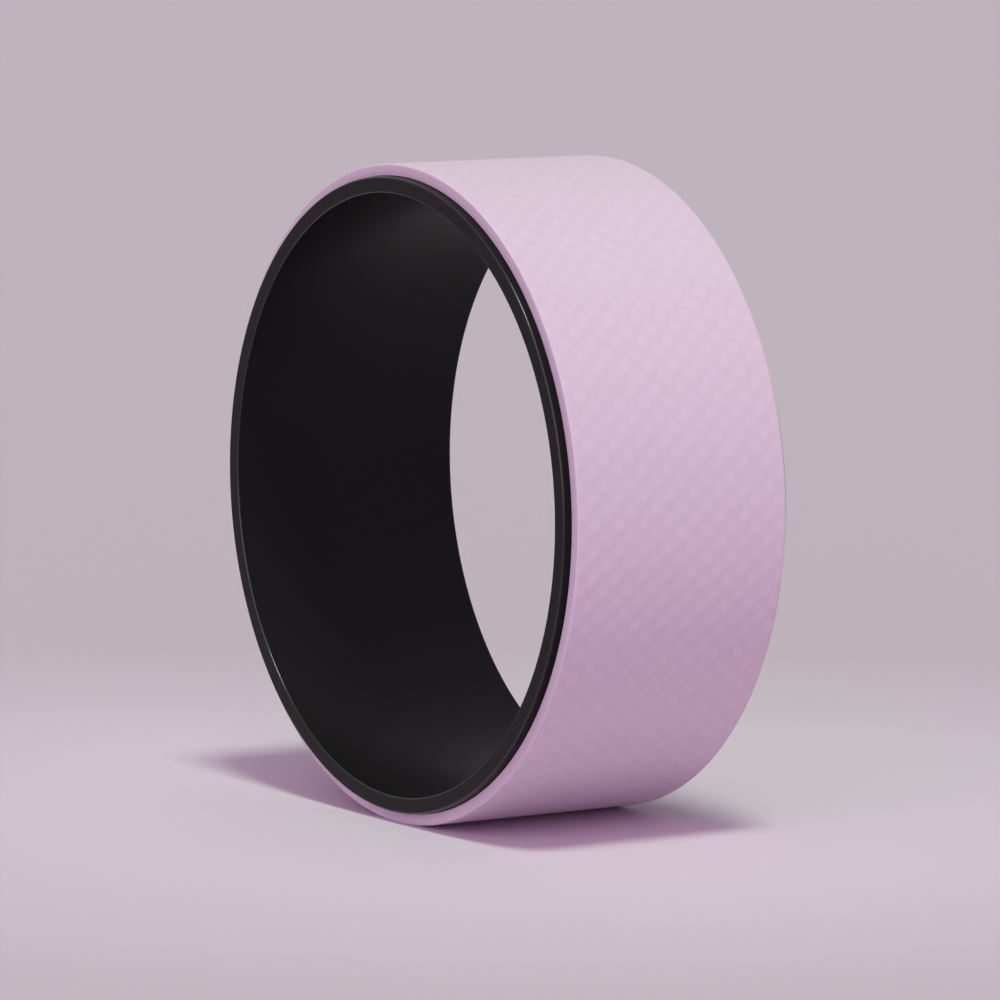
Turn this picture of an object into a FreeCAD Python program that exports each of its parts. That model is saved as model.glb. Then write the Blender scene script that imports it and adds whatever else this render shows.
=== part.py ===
"""Yoga wheel: a rigid plastic hoop with a foam strip glued round it as a tread.

The origin is the wheel's centre, its axis is Y and +Z is up. The wheel stands on its tread, with the
strip's butt seam on the -X side. All sizes are in millimetres and all angles in degrees.
"""

import FreeCAD, Part
import os
from FreeCAD import Vector
from math import degrees, pi

# The wheel as a whole
wheel_diameter = 330.0  # over the tread
contact_depth = 0.5  # how deep the foam is pressed flat where the wheel stands

# The hoop, an extruded tube cut to length
hoop_width = 130.0  # along the axis
hoop_wall = 8.4
hoop_rim_round = 1.2  # on all four rims

# The tread, a foam strip cut square and wrapped once round the hoop
pad_thickness = 5.8
pad_width = 121.0
seam_gap = 0.4  # between the strip's two ends
seam_angle = 200.0  # from +X, turning towards +Z

# The glue between them
film_thickness = 0.2
film_inset = 1.5  # stays back from each edge of the strip, so that no glue shows

# Cuts run this far past the solid that they pass through
overrun = 3.0

tread_radius = wheel_diameter / 2
pad_inner_radius = tread_radius - pad_thickness
hoop_radius = pad_inner_radius - film_thickness
bore_radius = hoop_radius - hoop_wall

origin = Vector(0, 0, 0)
turning_axis = Vector(0, -1, 0)  # angles about it run from +X towards +Z
full_turn = 360


def square_section(inner_radius, outer_radius, width):
    """Section of a ring with sharp edges, drawn on +X."""
    half = width / 2
    corners = [
        Vector(inner_radius, -half, 0),
        Vector(outer_radius, -half, 0),
        Vector(outer_radius, half, 0),
        Vector(inner_radius, half, 0),
    ]
    return Part.Face(Part.makePolygon(corners + corners[:1]))


def rounded_section(inner_radius, outer_radius, width, edge_round):
    """Section of a ring with rounded edges, each drawn as two arcs that meet on the corner's diagonal."""
    low = inner_radius + edge_round
    high = outer_radius - edge_round
    half = width / 2 - edge_round
    centres = [Vector(high, half, 0), Vector(low, half, 0), Vector(low, -half, 0), Vector(high, -half, 0)]
    circles = [Part.Circle(centre, Vector(0, 0, 1), edge_round) for centre in centres]
    edges = []
    for index, circle in enumerate(circles):
        start = index * pi / 2
        diagonal = start + pi / 4
        end = start + pi / 2
        following = circles[(index + 1) % len(circles)]
        edges.append(Part.ArcOfCircle(circle, start, diagonal).toShape())
        edges.append(Part.ArcOfCircle(circle, diagonal, end).toShape())
        edges.append(Part.makeLine(circle.value(end), following.value(end)))
    return Part.Face(Part.Wire(edges))


def turned(section, sweep=full_turn):
    """Ring that a section makes when it is turned about the wheel's axis, on from the seam."""
    section.rotate(origin, turning_axis, seam_angle)
    return section.revolve(origin, turning_axis, sweep)


def make_hoop():
    """Tube whose rims are rounded over, inside and outside, at both ends."""
    return turned(rounded_section(bore_radius, hoop_radius, hoop_width, hoop_rim_round))


def make_adhesive_film():
    """Glue over the whole turn, so that it also holds both ends of the strip."""
    return turned(square_section(hoop_radius, pad_inner_radius, pad_width - 2 * film_inset))


def make_tread_pad():
    """Strip that stops one gap short of a full turn, pressed flat where the wheel stands on it."""
    sweep = full_turn - degrees(seam_gap / pad_inner_radius)
    strip = turned(square_section(pad_inner_radius, tread_radius, pad_width), sweep)
    floor_width = pad_width + 2 * overrun
    floor_depth = contact_depth + overrun
    floor_corner = Vector(-tread_radius, -floor_width / 2, -tread_radius - overrun)
    floor = Part.makeBox(wheel_diameter, floor_width, floor_depth, floor_corner)
    return strip.cut(floor)


pieces = {
    "hoop": make_hoop,
    "adhesive_film": make_adhesive_film,
    "tread_pad": make_tread_pad,
}

os.makedirs("parts", exist_ok=True)
for name, make in pieces.items():
    make().exportStep(f"parts/{name}.step")
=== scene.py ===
"""Looks of a yoga wheel: a satin black plastic hoop with an embossed foam strip glued round it.

Everything is in metres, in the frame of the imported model: the origin is the wheel's centre, its axis is Y
and +Z is up. Angles round the wheel run from +X towards +Z.
"""

from math import atan2, cos, hypot, pi, radians, sin, tau

import bmesh
import bpy
from bpy.props import FloatProperty, FloatVectorProperty, IntProperty, PointerProperty
from mathutils import Matrix, Vector


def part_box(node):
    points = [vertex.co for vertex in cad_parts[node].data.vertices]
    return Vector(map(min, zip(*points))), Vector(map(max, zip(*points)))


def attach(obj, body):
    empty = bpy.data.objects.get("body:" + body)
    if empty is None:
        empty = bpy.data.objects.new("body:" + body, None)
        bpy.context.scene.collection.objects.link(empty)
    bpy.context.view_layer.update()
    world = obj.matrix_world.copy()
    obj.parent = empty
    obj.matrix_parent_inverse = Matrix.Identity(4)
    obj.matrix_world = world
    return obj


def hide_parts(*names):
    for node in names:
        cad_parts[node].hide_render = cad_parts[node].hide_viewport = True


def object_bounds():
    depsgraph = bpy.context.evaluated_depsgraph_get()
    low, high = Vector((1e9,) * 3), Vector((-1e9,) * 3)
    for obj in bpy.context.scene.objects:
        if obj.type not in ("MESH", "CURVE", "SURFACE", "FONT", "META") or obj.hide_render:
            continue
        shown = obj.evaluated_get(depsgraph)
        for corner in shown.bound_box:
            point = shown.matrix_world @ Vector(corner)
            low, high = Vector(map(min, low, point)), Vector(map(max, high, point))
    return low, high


bl_info = {
    "name": "Yoga wheel",
    "version": (1, 0, 0),
    "blender": (4, 5, 0),
    "location": "View3D > Sidebar > Yoga Wheel",
    "description": "Builds the looks of a yoga wheel round its packed solids",
    "category": "Add Mesh",
}

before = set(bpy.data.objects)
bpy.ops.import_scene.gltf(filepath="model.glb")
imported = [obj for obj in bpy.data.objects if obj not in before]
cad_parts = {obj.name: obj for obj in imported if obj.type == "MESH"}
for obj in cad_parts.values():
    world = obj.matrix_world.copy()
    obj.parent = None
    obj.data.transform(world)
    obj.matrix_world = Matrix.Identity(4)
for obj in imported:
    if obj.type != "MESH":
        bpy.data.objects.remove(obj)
solid_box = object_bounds()

MILLIMETRE = 0.001
TURNING_AXIS = Vector((0, -1, 0))


def ring_size(node):
    """Smallest and largest radius of a packed ring about the wheel's axis, and its width along it."""
    radii = [hypot(v.co.x, v.co.z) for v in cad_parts[node].data.vertices]
    low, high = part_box(node)
    return min(radii), max(radii), high.y - low.y


class HoopSettings(bpy.types.PropertyGroup):
    """What a user may change on the hoop."""

    rim_round: FloatProperty(
        name="Rim round",
        description="Radius of the round on all four rims",
        default=1.2 * MILLIMETRE,
        unit="LENGTH",
    )
    steps: IntProperty(name="Steps", description="Flat facets in one turn of the hoop", default=288)
    colour: FloatVectorProperty(
        name="Plastic",
        description="Colour of the plastic all through",
        default=(0.0065, 0.006, 0.0065),
        subtype="COLOR",
    )
    worn_colour: FloatVectorProperty(
        name="Worn plastic",
        description="Colour of the plastic where the rims are rubbed",
        default=(0.016, 0.0145, 0.016),
        subtype="COLOR",
    )


class TreadSettings(bpy.types.PropertyGroup):
    """What a user may change on the foam strip."""

    edge_round: FloatProperty(
        name="Edge round",
        description="Radius of the round on the strip's two outer edges",
        default=0.8 * MILLIMETRE,
        unit="LENGTH",
    )
    seam_angle: FloatProperty(
        name="Seam",
        description="Where the strip begins and ends, from +X towards +Z",
        default=radians(200),
        subtype="ANGLE",
    )
    seam_gap: FloatProperty(
        name="Seam gap",
        description="Gap between the strip's two ends, against the hoop",
        default=0.4 * MILLIMETRE,
        unit="LENGTH",
    )
    rows: IntProperty(name="Rows", description="Rows of embossed grains in one turn", default=80)
    column_pitch: FloatProperty(
        name="Column pitch",
        description="From one grain to the next in a row, across the strip",
        default=14.6 * MILLIMETRE,
        unit="LENGTH",
    )
    grain_length: FloatProperty(
        name="Grain length",
        description="Length of one embossed grain",
        default=13.0 * MILLIMETRE,
        unit="LENGTH",
    )
    grain_width: FloatProperty(
        name="Grain width",
        description="Width of one embossed grain",
        default=9.2 * MILLIMETRE,
        unit="LENGTH",
    )
    grain_height: FloatProperty(
        name="Grain height",
        description="Height of one embossed grain over the foam round it",
        default=0.22 * MILLIMETRE,
        unit="LENGTH",
    )
    grain_lean: FloatProperty(
        name="Grain lean",
        description="Lean of a grain from the wheel's axis; every second row leans the other way",
        default=radians(48),
        subtype="ANGLE",
    )
    colour: FloatVectorProperty(
        name="Foam",
        description="Colour of the foam",
        default=(0.622, 0.485, 0.59),
        subtype="COLOR",
    )


class GlueSettings(bpy.types.PropertyGroup):
    """What a user may change on the glue."""

    colour: FloatVectorProperty(
        name="Glue",
        description="Colour of the dried glue",
        default=(0.62, 0.52, 0.34),
        subtype="COLOR",
    )


class StageSettings(bpy.types.PropertyGroup):
    """What a user may change on the floor, the light and the camera."""

    floor_radius: FloatProperty(
        name="Floor radius",
        description="Radius of the floor",
        default=60.0,
        unit="LENGTH",
    )
    near_reach: FloatProperty(
        name="Near reach",
        description="How far from the wheel's centre the floor begins to change colour",
        default=0.15,
        unit="LENGTH",
    )
    far_reach: FloatProperty(
        name="Far reach",
        description="How far from the wheel's centre the floor has its far colour",
        default=0.7,
        unit="LENGTH",
    )
    # Painted pool of light: the floor under the wheel gets a paler colour than far off, in place of the
    # light falling there.
    near_floor_painted_light: FloatVectorProperty(
        name="Near floor",
        description="Colour of the floor under the wheel",
        default=(0.662, 0.55, 0.642),
        subtype="COLOR",
    )
    far_floor: FloatVectorProperty(
        name="Far floor",
        description="Colour of the floor from the far reach on",
        default=(0.516, 0.4235, 0.4945),
        subtype="COLOR",
    )
    low_light: FloatVectorProperty(
        name="Low room light",
        description="Light that comes in level from all round, where 1 shows a colour as written",
        default=(0.435, 0.22, 0.453),
        subtype="COLOR",
    )
    high_light: FloatVectorProperty(
        name="High room light",
        description="Light that comes straight down, where 1 shows a colour as written",
        default=(0.39, 0.455, 0.4),
        subtype="COLOR",
    )
    backdrop: FloatVectorProperty(
        name="Backdrop",
        description="Colour of the backdrop past the floor, as it is seen and as glossy surfaces mirror it",
        default=(0.518, 0.456, 0.502),
        subtype="COLOR",
    )
    overhead_light: FloatVectorProperty(
        name="Overhead light",
        description="Light on a surface that faces the overhead lamp, where 1 shows a colour as written",
        default=(0.487, 0.62, 0.48),
        subtype="COLOR",
    )
    front_light: FloatVectorProperty(
        name="Front light",
        description="Light on a surface that faces the front lamp, where 1 shows a colour as written",
        default=(0.58, 0.42, 0.585),
        subtype="COLOR",
    )
    overhead_glint: FloatProperty(
        name="Overhead glint",
        description="Strength of the overhead lamp in highlights, which stay white",
        default=0.6,
        subtype="FACTOR",
    )
    front_glint: FloatProperty(
        name="Front glint",
        description="Strength of the front lamp in highlights, which stay white",
        default=0.3,
        subtype="FACTOR",
    )
    camera_azimuth: FloatProperty(
        name="Camera azimuth",
        description="How far the camera stands round from -Y towards +X",
        default=radians(57.59),
        subtype="ANGLE",
    )
    camera_elevation: FloatProperty(
        name="Camera elevation",
        description="How high the camera stands over the wheel's centre",
        default=radians(6.524),
        subtype="ANGLE",
    )
    camera_distance: FloatProperty(
        name="Camera distance",
        description="From the camera to the wheel's centre",
        default=3.4624,
        unit="LENGTH",
    )
    camera_drop: FloatProperty(
        name="Camera drop",
        description="How far under the wheel's centre the camera aims",
        default=6.1 * MILLIMETRE,
        unit="LENGTH",
    )
    camera_lens: FloatProperty(
        name="Camera lens",
        description="Focal length of the camera",
        default=247.96,
        unit="CAMERA",
    )


class NodeBuilder:
    """Adds nodes to the tree of a material or of the world, and links them."""

    def __init__(self, tree):
        self.tree = tree

    def put(self, value, socket):
        """Links an output to a socket, or types a plain value on it."""
        if isinstance(value, bpy.types.NodeSocket):
            self.tree.links.new(value, socket)
        else:
            socket.default_value = value

    def fill(self, node, **values):
        """Puts each value in the input of its name, with blanks as underscores, or else in the property."""
        for key, value in values.items():
            socket = node.inputs.get(key.replace("_", " "))
            if socket is not None and not hasattr(node, key):
                self.put(value, socket)
            else:
                setattr(node, key, value)

    def fill_in_order(self, node, *values):
        """Puts values in a node's inputs, from the first one on."""
        for value, socket in zip(values, node.inputs):
            self.put(value, socket)

    def add(self, kind, **values):
        """Adds a node and fills it."""
        node = self.tree.nodes.new(kind)
        self.fill(node, **values)
        return node

    def place(self):
        """The point that is shaded, in the piece's own frame."""
        return self.add("ShaderNodeTexCoord").outputs["Object"]

    def stretched(self, place, scale):
        """A place scaled along X, Y and Z, for a pattern that is drawn out."""
        return self.add("ShaderNodeMapping", Vector=place, Scale=scale).outputs["Vector"]

    def noise(self, place, scale, detail):
        """Soft noise."""
        return self.add("ShaderNodeTexNoise", Vector=place, Scale=scale, Detail=detail).outputs["Fac"]

    def cells(self, place, scale):
        """Pits side by side, deepest in the middle of each."""
        return self.add("ShaderNodeTexVoronoi", Vector=place, Scale=scale).outputs["Distance"]

    def mark(self, name):
        """A measure that the mesh carries on its points."""
        return self.add("ShaderNodeAttribute", attribute_name=name).outputs["Fac"]

    def ranged(self, value, low, high):
        """Takes a value from the range of 0 to 1 into another one."""
        return self.add("ShaderNodeMapRange", Value=value, To_Min=low, To_Max=high).outputs["Result"]

    def combine(self, operation, first, second):
        """Makes one number of two."""
        node = self.add("ShaderNodeMath", operation=operation)
        self.fill_in_order(node, first, second)
        return node.outputs["Value"]

    def blend(self, share, start, end):
        """Goes from one colour to another as a share goes from 0 to 1."""
        node = self.add("ShaderNodeMix", data_type="RGBA", Factor=share)
        first, second = (socket for socket in node.inputs if socket.type == "RGBA")
        self.put(opaque(start), first)
        self.put(opaque(end), second)
        return next(socket for socket in node.outputs if socket.type == "RGBA")

    def shade(self, colour, tone):
        """Makes a colour paler or darker by a tone."""
        node = self.add("ShaderNodeVectorMath", operation="SCALE", Vector=colour, Scale=tone)
        return node.outputs["Vector"]

    def bump(self, height, strength, distance, **under):
        """Tilts the surface's normals by a height, over the bump under it if there is one."""
        node = self.add("ShaderNodeBump", Height=height, Strength=strength, Distance=distance, **under)
        return node.outputs["Normal"]


def opaque(colour):
    """A colour with its alpha."""
    return (*colour, 1.0)


def new_material(name):
    """A new material, its node tree and its shader."""
    material = bpy.data.materials.new(name)
    material.use_nodes = True
    return material, NodeBuilder(material.node_tree), material.node_tree.nodes["Principled BSDF"]


def make_hoop_plastic(settings):
    """Satin black plastic, drawn along the axis and finely grained. Its rubbed rims are paler and shine."""
    material, nodes, shader = new_material("satin_black_plastic")
    place = nodes.place()
    cloud = nodes.noise(place, scale=38.0, detail=4.0)
    rubbed = nodes.mark("rubbed")
    patchy = nodes.combine("MULTIPLY", rubbed, cloud)
    satin = nodes.ranged(cloud, 0.31, 0.39)
    polish = nodes.ranged(rubbed, 1.0, 0.3)
    lines = nodes.noise(nodes.stretched(place, (900, 12, 900)), scale=1.0, detail=2.0)
    drawn = nodes.bump(lines, strength=0.05, distance=0.1 * MILLIMETRE)
    grain = nodes.noise(place, scale=2600.0, detail=3.0)
    nodes.fill(
        shader,
        Base_Color=nodes.blend(patchy, settings.colour, settings.worn_colour),
        Roughness=nodes.combine("MULTIPLY", satin, polish),
        Specular_IOR_Level=0.13,
        Coat_Weight=rubbed,
        Coat_Roughness=0.24,
        Coat_IOR=1.6,
        Normal=nodes.bump(grain, strength=0.08, distance=0.1 * MILLIMETRE, Normal=drawn),
    )
    return material


def make_tread_foam(settings):
    """Matt closed-cell foam: a finely pitted skin, open cells on cut edges, and painted shade: grain tops
    paler, grooves darker.
    """
    material, nodes, shader = new_material("embossed_lilac_foam")
    place = nodes.place()
    raised = nodes.mark("raised")
    uneven = nodes.ranged(nodes.noise(place, scale=45.0, detail=4.0), 0.975, 1.025)
    # Painted shade: the colour is paler on the grains' tops and darker in the grooves between them, where
    # shade falls.
    painted_groove_shade = nodes.ranged(raised, 0.978, 1.022)
    tone = nodes.combine("MULTIPLY", uneven, painted_groove_shade)
    skin = nodes.bump(nodes.cells(place, scale=1500.0), strength=0.12, distance=0.3 * MILLIMETRE)
    openness = nodes.ranged(nodes.mark("cut"), 0.0, 0.5)
    open_cells = nodes.cells(place, scale=2200.0)
    nodes.fill(
        shader,
        Base_Color=nodes.shade(settings.colour, tone),
        Roughness=nodes.ranged(raised, 0.8, 0.68),
        Specular_IOR_Level=0.4,
        Sheen_Weight=0.25,
        Sheen_Roughness=0.5,
        Normal=nodes.bump(open_cells, strength=openness, distance=0.4 * MILLIMETRE, Normal=skin),
    )
    return material


def make_glue(settings):
    """Dried contact glue, brushed on unevenly."""
    material, nodes, shader = new_material("dried_glue")
    strokes = nodes.noise(nodes.stretched(nodes.place(), (60, 400, 60)), scale=1.0, detail=3.0)
    nodes.fill(
        shader,
        Base_Color=nodes.shade(settings.colour, nodes.ranged(strokes, 0.75, 1.1)),
        Roughness=nodes.ranged(strokes, 0.3, 0.5),
        Normal=nodes.bump(strokes, strength=0.2, distance=0.1 * MILLIMETRE),
    )
    return material


def make_studio_floor(settings):
    """Matt pale floor with a barely uneven finish, painted paler near the wheel as a pool of light, darker
    away from it.
    """
    material, nodes, shader = new_material("studio_floor")
    place = nodes.place()
    cloud = nodes.noise(place, scale=6.0, detail=3.0)
    reach = nodes.add("ShaderNodeVectorMath", operation="LENGTH", Vector=place)
    away = nodes.add(
        "ShaderNodeMapRange",
        interpolation_type="SMOOTHSTEP",
        Value=reach.outputs["Value"],
        From_Min=settings.near_reach,
        From_Max=settings.far_reach,
    )
    nodes.fill(
        shader,
        # Painted pool of light: the floor's colour goes from paler near the wheel to darker further off.
        Base_Color=nodes.blend(away.outputs["Result"], settings.near_floor_painted_light, settings.far_floor),
        Roughness=nodes.ranged(cloud, 0.85, 0.95),
        Specular_IOR_Level=0.1,
    )
    return material


def start_section(bm, inner, outer, width):
    """Draws a ring's square section as one face, its radius along X and its width along Y."""
    bmesh.ops.create_grid(bm, x_segments=1, y_segments=1, size=0.5)
    bmesh.ops.scale(bm, vec=(outer - inner, width, 1), verts=bm.verts)
    bmesh.ops.translate(bm, vec=((inner + outer) / 2, 0, 0), verts=bm.verts)


def round_corners(bm, corners, radius, segments):
    """Rounds some corners of a section."""
    bmesh.ops.bevel(
        bm,
        geom=corners,
        offset=radius,
        offset_type="OFFSET",
        segments=segments,
        profile=0.5,
        affect="VERTICES",
        material=-1,
    )


def finish_piece(bm, name, material):
    """Checks that a piece is closed, and puts it in the scene at the origin with smooth faces."""
    bmesh.ops.recalc_face_normals(bm, faces=bm.faces)
    if not all(edge.is_manifold for edge in bm.edges):
        raise RuntimeError(f"{name} isn't closed")
    for face in bm.faces:
        face.smooth = True
    mesh = bpy.data.meshes.new(name)
    bm.to_mesh(mesh)
    bm.free()
    mesh.materials.append(material)
    piece = bpy.data.objects.new(name, mesh)
    bpy.context.scene.collection.objects.link(piece)
    even = piece.modifiers.new("even_shading", "WEIGHTED_NORMAL")
    even.keep_sharp = True
    return piece


class YOGA_WHEEL_OT_hoop(bpy.types.Operator):
    """Turns the plastic hoop from its section, with a round on all four rims"""

    bl_idname = "yoga_wheel.hoop"
    bl_label = "Hoop"

    round_segments = 6
    merge_share = 0.01

    def execute(self, context):
        settings = context.scene.yoga_wheel_hoop
        inner, outer, width = ring_size("hoop")
        bm = bmesh.new()
        start_section(bm, inner, outer, width)
        round_corners(bm, bm.verts[:], settings.rim_round, self.round_segments)
        bmesh.ops.delete(bm, geom=bm.faces[:], context="FACES_ONLY")
        bmesh.ops.spin(
            bm,
            geom=bm.verts[:] + bm.edges[:],
            axis=TURNING_AXIS,
            cent=(0, 0, 0),
            angle=tau,
            steps=settings.steps,
            use_merge=True,
        )
        bmesh.ops.remove_doubles(bm, verts=bm.verts, dist=settings.rim_round * self.merge_share)
        self.mark_rubbed_rims(bm, inner, outer, width, settings.rim_round)
        piece = finish_piece(bm, "plastic_hoop", make_hoop_plastic(settings))
        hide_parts("hoop")
        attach(piece, "root")
        return {"FINISHED"}

    @staticmethod
    def mark_rubbed_rims(bm, inner, outer, width, rim_round):
        """Marks how much each point of the rims is rubbed, most at the middle of a round."""
        rubbed = bm.verts.layers.float.new("rubbed")
        for vert in bm.verts:
            radius = hypot(vert.co.x, vert.co.z)
            from_wall = min(radius - inner, outer - radius)
            from_end = width / 2 - abs(vert.co.y)
            depth = max(from_wall, from_end) / rim_round
            vert[rubbed] = max(0.0, 1.0 - depth)


class YOGA_WHEEL_OT_tread(bpy.types.Operator):
    """Wraps the foam strip round the hoop, embosses its grains and presses it flat on the floor"""

    bl_idname = "yoga_wheel.tread"
    bl_label = "Tread"

    steps_per_row = 11
    steps_per_column = 12
    outer_segments = 3
    inner_round = 0.25 * MILLIMETRE
    inner_segments = 1
    end_round = 0.35 * MILLIMETRE
    end_segments = 2
    edge_fade = 2.0 * MILLIMETRE

    def execute(self, context):
        settings = context.scene.yoga_wheel_tread
        inner, outer, width = ring_size("tread_pad")
        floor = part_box("tread_pad")[0].z
        bm = bmesh.new()
        self.wrap(bm, settings, inner, outer, width)
        self.emboss(bm, settings, outer, width, floor)
        piece = finish_piece(bm, "foam_tread", make_tread_foam(settings))
        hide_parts("tread_pad")
        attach(piece, "root")
        return {"FINISHED"}

    def wrap(self, bm, settings, inner, outer, width):
        """Draws the strip's section and turns it from one side of the seam to the other."""
        start_section(bm, inner, outer, width)
        middle = (inner + outer) / 2
        outer_corners = [vert for vert in bm.verts if vert.co.x > middle]
        round_corners(bm, outer_corners, settings.edge_round, self.outer_segments)
        inner_corners = [vert for vert in bm.verts if vert.co.x < middle]
        round_corners(bm, inner_corners, self.inner_round, self.inner_segments)
        turn = Matrix.Rotation(settings.seam_angle, 3, TURNING_AXIS)
        bmesh.ops.rotate(bm, verts=bm.verts, cent=(0, 0, 0), matrix=turn)
        bmesh.ops.spin(
            bm,
            geom=bm.verts[:] + bm.edges[:] + bm.faces[:],
            axis=TURNING_AXIS,
            cent=(0, 0, 0),
            angle=tau - settings.seam_gap / inner,
            steps=settings.rows * self.steps_per_row,
        )
        self.round_ends(bm, middle)
        face_width = width - 2 * settings.edge_round
        columns = round(face_width / settings.column_pitch * self.steps_per_column)
        across = [e for e in bm.edges if self.is_across(e, face_width, middle)]
        bmesh.ops.subdivide_edges(bm, edges=across, cuts=columns - 1, use_grid_fill=True)

    def round_ends(self, bm, middle):
        """Rounds the outer edges of the two cut ends, the only faces with more than four corners."""
        cut_ends = [face for face in bm.faces if len(face.verts) > 4]
        outline = [edge for face in cut_ends for edge in face.edges]
        outer_edges = [e for e in outline if all(hypot(v.co.x, v.co.z) > middle for v in e.verts)]
        bmesh.ops.bevel(
            bm,
            geom=outer_edges,
            offset=self.end_round,
            offset_type="OFFSET",
            segments=self.end_segments,
            profile=0.5,
            affect="EDGES",
            material=-1,
        )

    @staticmethod
    def is_across(edge, face_width, middle):
        """Whether an edge runs across the tread's face."""
        start, end = (vert.co for vert in edge.verts)
        return abs(end.y - start.y) > face_width / 2 and hypot(start.x, start.z) > middle

    def emboss(self, bm, settings, outer, width, floor):
        """Raises the grains on the tread's face, and marks them and the cut edges for the material."""
        raised = bm.verts.layers.float.new("raised")
        cut = bm.verts.layers.float.new("cut")
        row_angle = (tau - settings.seam_gap / outer) / settings.rows
        for vert in bm.verts:
            radius = hypot(vert.co.x, vert.co.z)
            below = outer - radius
            vert[cut] = min(1.0, max(0.0, below / settings.edge_round))
            if below < settings.edge_round / 2:
                angle = (atan2(vert.co.z, vert.co.x) - settings.seam_angle) % tau
                from_edge = width / 2 - abs(vert.co.y)
                share = self.grain(angle / row_angle, vert.co.y / settings.column_pitch, settings, outer)
                share *= min(1.0, max(0.0, from_edge / self.edge_fade))
                vert[raised] = share
                lift = 1 + share * settings.grain_height / radius
                vert.co.x *= lift
                vert.co.z *= lift
            vert.co.z = max(vert.co.z, floor)

    @staticmethod
    def grain(row, column, settings, outer):
        """Height of the embossing at a row and a column, as a share of a grain's full height."""
        row_pitch = tau * outer / settings.rows
        height = 0.0
        for shift, lean in ((0.0, -settings.grain_lean), (0.5, settings.grain_lean)):
            across = (column - shift - round(column - shift)) * settings.column_pitch
            along = (row - shift - round(row - shift)) * row_pitch
            lengthwise = across * cos(lean) + along * sin(lean)
            sideways = along * cos(lean) - across * sin(lean)
            out = hypot(2 * lengthwise / settings.grain_length, 2 * sideways / settings.grain_width)
            if out < 1:
                height = max(height, (1 - out ** 2) ** 2)
        return height


class YOGA_WHEEL_OT_glue(bpy.types.Operator):
    """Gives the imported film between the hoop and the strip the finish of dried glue"""

    bl_idname = "yoga_wheel.glue"
    bl_label = "Glue"

    def execute(self, context):
        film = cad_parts["adhesive_film"]
        film.data.materials.clear()
        film.data.materials.append(make_glue(context.scene.yoga_wheel_glue))
        return {"FINISHED"}


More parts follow.
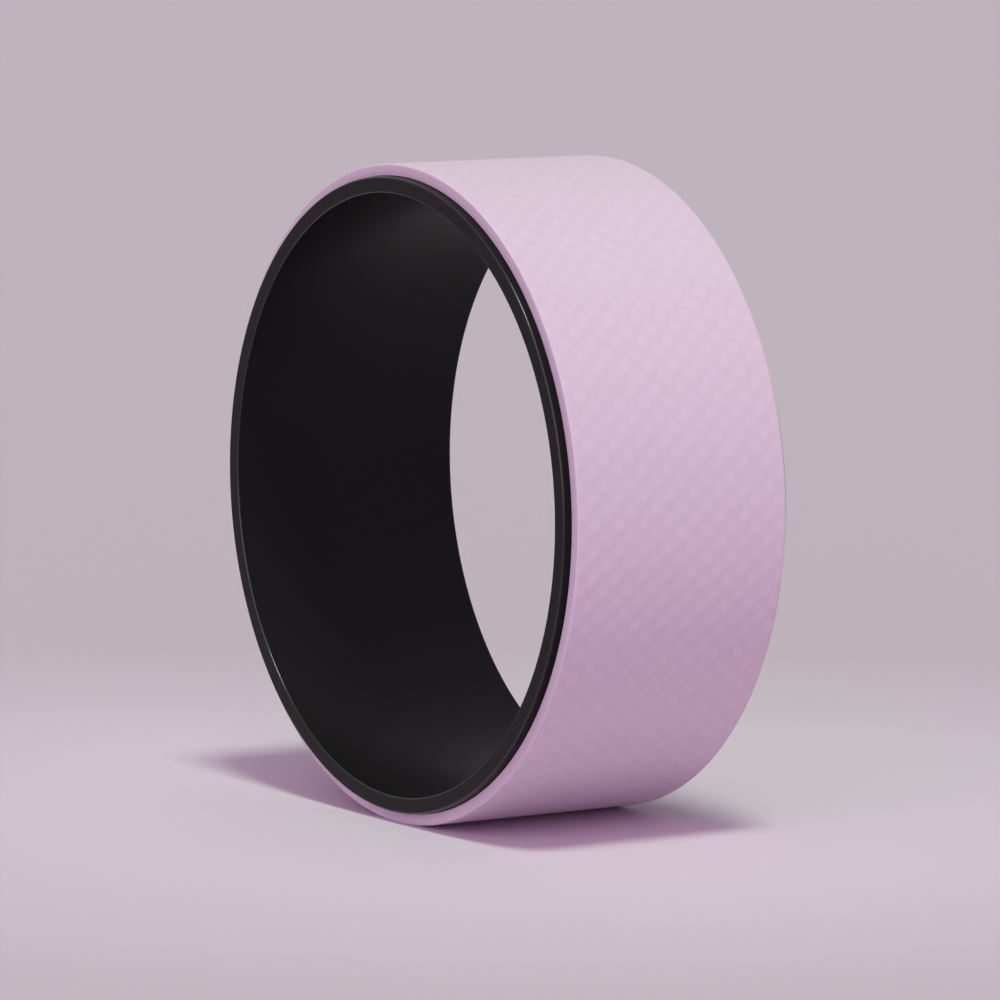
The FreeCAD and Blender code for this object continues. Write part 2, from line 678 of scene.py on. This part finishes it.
class YOGA_WHEEL_OT_stage(bpy.types.Operator):
    """Lays the floor, and sets up the light and the camera"""

    bl_idname = "yoga_wheel.stage"
    bl_label = "Stage"

    floor_segments = 64
    overhead_from = Vector((0.36, -0.12, 0.925))
    overhead_spread = radians(12)
    front_from = Vector((0.66, -0.72, 0.20))
    front_spread = radians(70)
    camera_reach = 300.0

    def execute(self, context):
        settings = context.scene.yoga_wheel_stage
        self.lay_floor(context, settings)
        self.fill_room(context, settings)
        self.hang_lamps(
            context,
            "overhead",
            toward=self.overhead_from,
            spread=self.overhead_spread,
            light=settings.overhead_light,
            glint=settings.overhead_glint,
        )
        self.hang_lamps(
            context,
            "front",
            toward=self.front_from,
            spread=self.front_spread,
            light=settings.front_light,
            glint=settings.front_glint,
        )
        self.place_camera(context, settings)
        return {"FINISHED"}

    def lay_floor(self, context, settings):
        """Lays a wide round floor under the wheel."""
        bm = bmesh.new()
        bmesh.ops.create_circle(
            bm,
            cap_ends=True,
            segments=self.floor_segments,
            radius=settings.floor_radius,
        )
        bmesh.ops.translate(bm, vec=(0, 0, solid_box[0].z), verts=bm.verts)
        mesh = bpy.data.meshes.new("floor")
        bm.to_mesh(mesh)
        bm.free()
        mesh.materials.append(make_studio_floor(settings))
        floor = bpy.data.objects.new("floor", mesh)
        context.scene.collection.objects.link(floor)

    @staticmethod
    def fill_room(context, settings):
        """Lights the scene from all round, and shows a plain backdrop past the floor and in reflections."""
        world = bpy.data.worlds.new("room")
        world.use_nodes = True
        nodes = NodeBuilder(world.node_tree)
        toward = nodes.add("ShaderNodeTexCoord").outputs["Generated"]
        height = nodes.add("ShaderNodeSeparateXYZ", Vector=toward).outputs["Z"]
        room = world.node_tree.nodes["Background"]
        nodes.fill(room, Color=nodes.blend(height, settings.low_light, settings.high_light))
        backdrop = nodes.add("ShaderNodeBackground", Color=opaque(settings.backdrop))
        ray = nodes.add("ShaderNodeLightPath").outputs
        mirrored = nodes.combine("MAXIMUM", ray["Is Glossy Ray"], ray["Is Transmission Ray"])
        seen = nodes.combine("MAXIMUM", ray["Is Camera Ray"], mirrored)
        either = nodes.add("ShaderNodeMixShader")
        nodes.fill_in_order(either, seen, room.outputs["Background"], backdrop.outputs["Background"])
        nodes.fill(world.node_tree.nodes["World Output"], Surface=either.outputs["Shader"])
        context.scene.world = world

    def hang_lamps(self, context, name, toward, spread, light, glint):
        """Hangs a tinted lamp that lights surfaces, and with it a white one that shows in highlights."""
        tinted = self.hang_lamp(context, f"{name}_lamp", toward, spread, light)
        tinted.visible_glossy = False
        white = self.hang_lamp(context, f"{name}_glint", toward, spread, [glint] * 3)
        white.visible_diffuse = False

    @staticmethod
    def hang_lamp(context, name, toward, spread, light):
        """Adds a lamp that is so far away that it lights the whole floor alike."""
        lamp = bpy.data.lights.new(name, "SUN")
        lamp.energy = max(light) * pi
        lamp.color = [channel / max(light) for channel in light]
        lamp.angle = spread
        holder = bpy.data.objects.new(name, lamp)
        holder.rotation_euler = toward.to_track_quat("Z", "Y").to_euler()
        context.scene.collection.objects.link(holder)
        return holder

    def place_camera(self, context, settings):
        """Stands the camera where it sees the wheel as the photograph does."""
        azimuth = settings.camera_azimuth
        elevation = settings.camera_elevation
        toward = Vector((sin(azimuth) * cos(elevation), -cos(azimuth) * cos(elevation), sin(elevation)))
        aim = Vector((0, 0, -settings.camera_drop))
        data = bpy.data.cameras.new("camera")
        data.lens = settings.camera_lens
        data.clip_end = self.camera_reach
        camera = bpy.data.objects.new("camera", data)
        camera.location = toward * settings.camera_distance
        camera.rotation_euler = (camera.location - aim).to_track_quat("Z", "Y").to_euler()
        context.scene.collection.objects.link(camera)
        context.scene.camera = camera
        context.scene.view_settings.view_transform = "Standard"


OPERATORS = (YOGA_WHEEL_OT_hoop, YOGA_WHEEL_OT_glue, YOGA_WHEEL_OT_tread, YOGA_WHEEL_OT_stage)
SETTINGS = {
    "yoga_wheel_hoop": HoopSettings,
    "yoga_wheel_glue": GlueSettings,
    "yoga_wheel_tread": TreadSettings,
    "yoga_wheel_stage": StageSettings,
}


class YOGA_WHEEL_PT_panel(bpy.types.Panel):
    """Lists the pieces of the wheel and what can be changed on them"""

    bl_idname = "YOGA_WHEEL_PT_panel"
    bl_label = "Yoga wheel"
    bl_space_type = "VIEW_3D"
    bl_region_type = "UI"
    bl_category = "Yoga Wheel"

    def draw(self, context):
        for operator, name in zip(OPERATORS, SETTINGS):
            box = self.layout.box()
            box.operator(operator.bl_idname)
            settings = getattr(context.scene, name)
            for key in settings.__annotations__:
                box.prop(settings, key)


CLASSES = (*SETTINGS.values(), *OPERATORS, YOGA_WHEEL_PT_panel)


def register():
    for cls in CLASSES:
        bpy.utils.register_class(cls)
    for name, cls in SETTINGS.items():
        setattr(bpy.types.Scene, name, PointerProperty(type=cls))


def unregister():
    for name in SETTINGS:
        delattr(bpy.types.Scene, name)
    for cls in reversed(CLASSES):
        bpy.utils.unregister_class(cls)


def main():
    register()
    bpy.ops.yoga_wheel.hoop()
    bpy.ops.yoga_wheel.glue()
    bpy.ops.yoga_wheel.tread()
    bpy.ops.yoga_wheel.stage()


if __name__ == "__main__":
    main()
